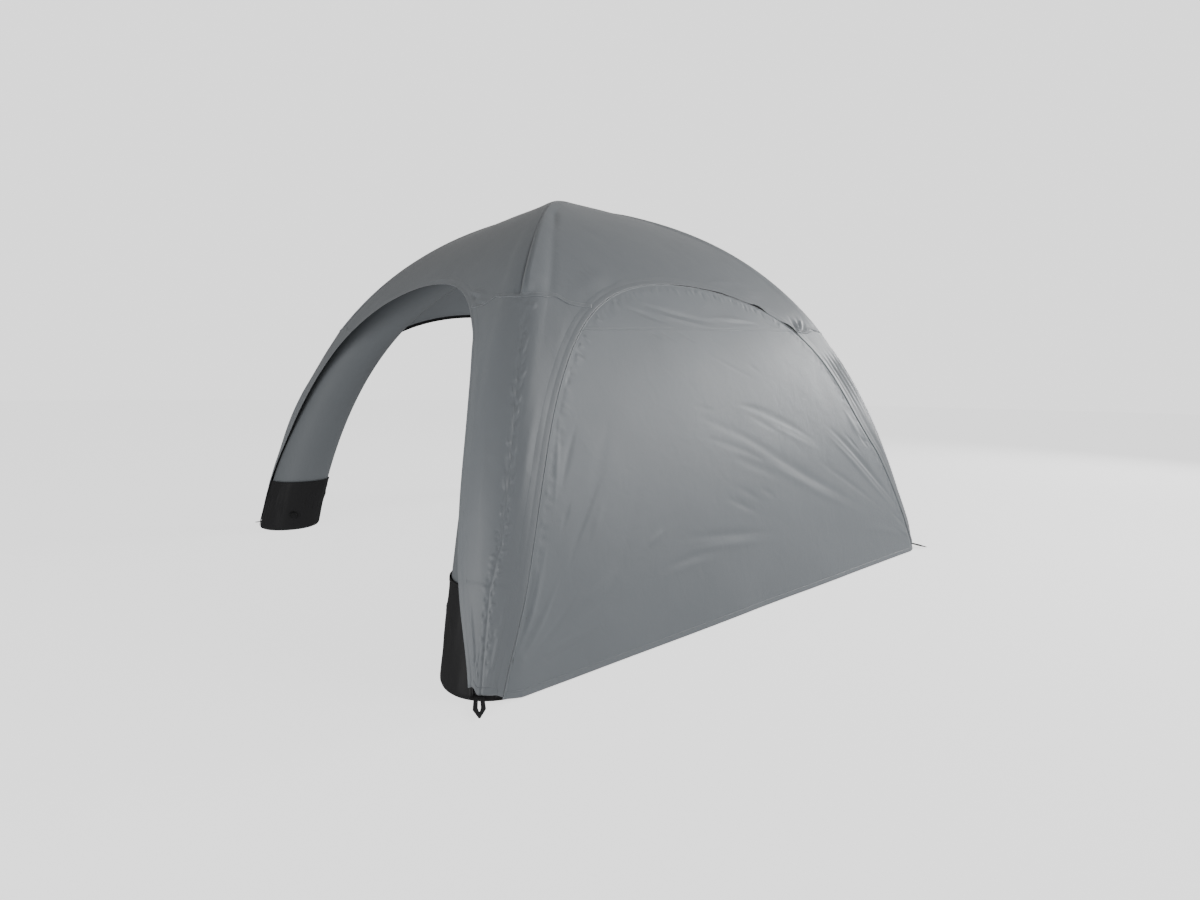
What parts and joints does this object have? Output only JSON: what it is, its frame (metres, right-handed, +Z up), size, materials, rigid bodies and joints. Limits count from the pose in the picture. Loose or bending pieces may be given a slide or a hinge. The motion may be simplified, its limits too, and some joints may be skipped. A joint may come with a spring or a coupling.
{
  "type": "inflatable party tent",
  "caption": "Square inflatable party tent: air tubes lean from the corners to a crown under a stretched fabric roof, with leg covers, black foot sleeves and a side wall zipped into one arch.",
  "frame": {"origin": "on the floor, under the tent's middle", "axes": "+Z up; -Y out of the front, an open side; +X towards the side wall"},
  "size_m": [4.078, 3.9942, 2.624],
  "materials": {
    "air_tube": "grey coated air-tube fabric, taut and smooth, satin",
    "black_sleeve": "black coated nylon, glossy in its folds",
    "webbing": "black woven webbing",
    "valve": "black moulded plastic",
    "roof_fabric": "grey satin polyester, stretched",
    "cover_fabric": "grey satin polyester, gathered along its middle",
    "zip_tape": "dark woven zip tape",
    "wall_fabric": "grey satin polyester with soft folds"
  },
  "bodies": {
    "root": {"leg_tube_front_left": "air_tube", "leg_tube_front_right": "air_tube", "leg_tube_rear_right": "air_tube", "leg_tube_rear_left": "air_tube", "tube_crown": "air_tube", "foot_sleeve_front_left": "black_sleeve", "foot_sleeve_front_right": "black_sleeve", "foot_sleeve_rear_right": "black_sleeve", "foot_sleeve_rear_left": "black_sleeve", "peg_loop_front_left": "webbing", "peg_loop_front_right": "webbing", "peg_loop_rear_right": "webbing", "peg_loop_rear_left": "webbing", "inflation_valve_front_left": "valve", "inflation_valve_front_right": "valve", "inflation_valve_rear_right": "valve", "inflation_valve_rear_left": "valve", "roof_panel_front": "roof_fabric", "roof_panel_right": "roof_fabric", "roof_panel_back": "roof_fabric", "roof_panel_left": "roof_fabric", "leg_cover_front_left": "cover_fabric", "leg_cover_front_right": "cover_fabric", "leg_cover_rear_right": "cover_fabric", "leg_cover_rear_left": "cover_fabric", "arch_zip_front": "zip_tape", "arch_zip_right": "zip_tape", "arch_zip_back": "zip_tape", "arch_zip_left": "zip_tape", "side_wall_lower_right": "wall_fabric", "side_wall_upper_right": "wall_fabric"}
  },
  "joints": []
}
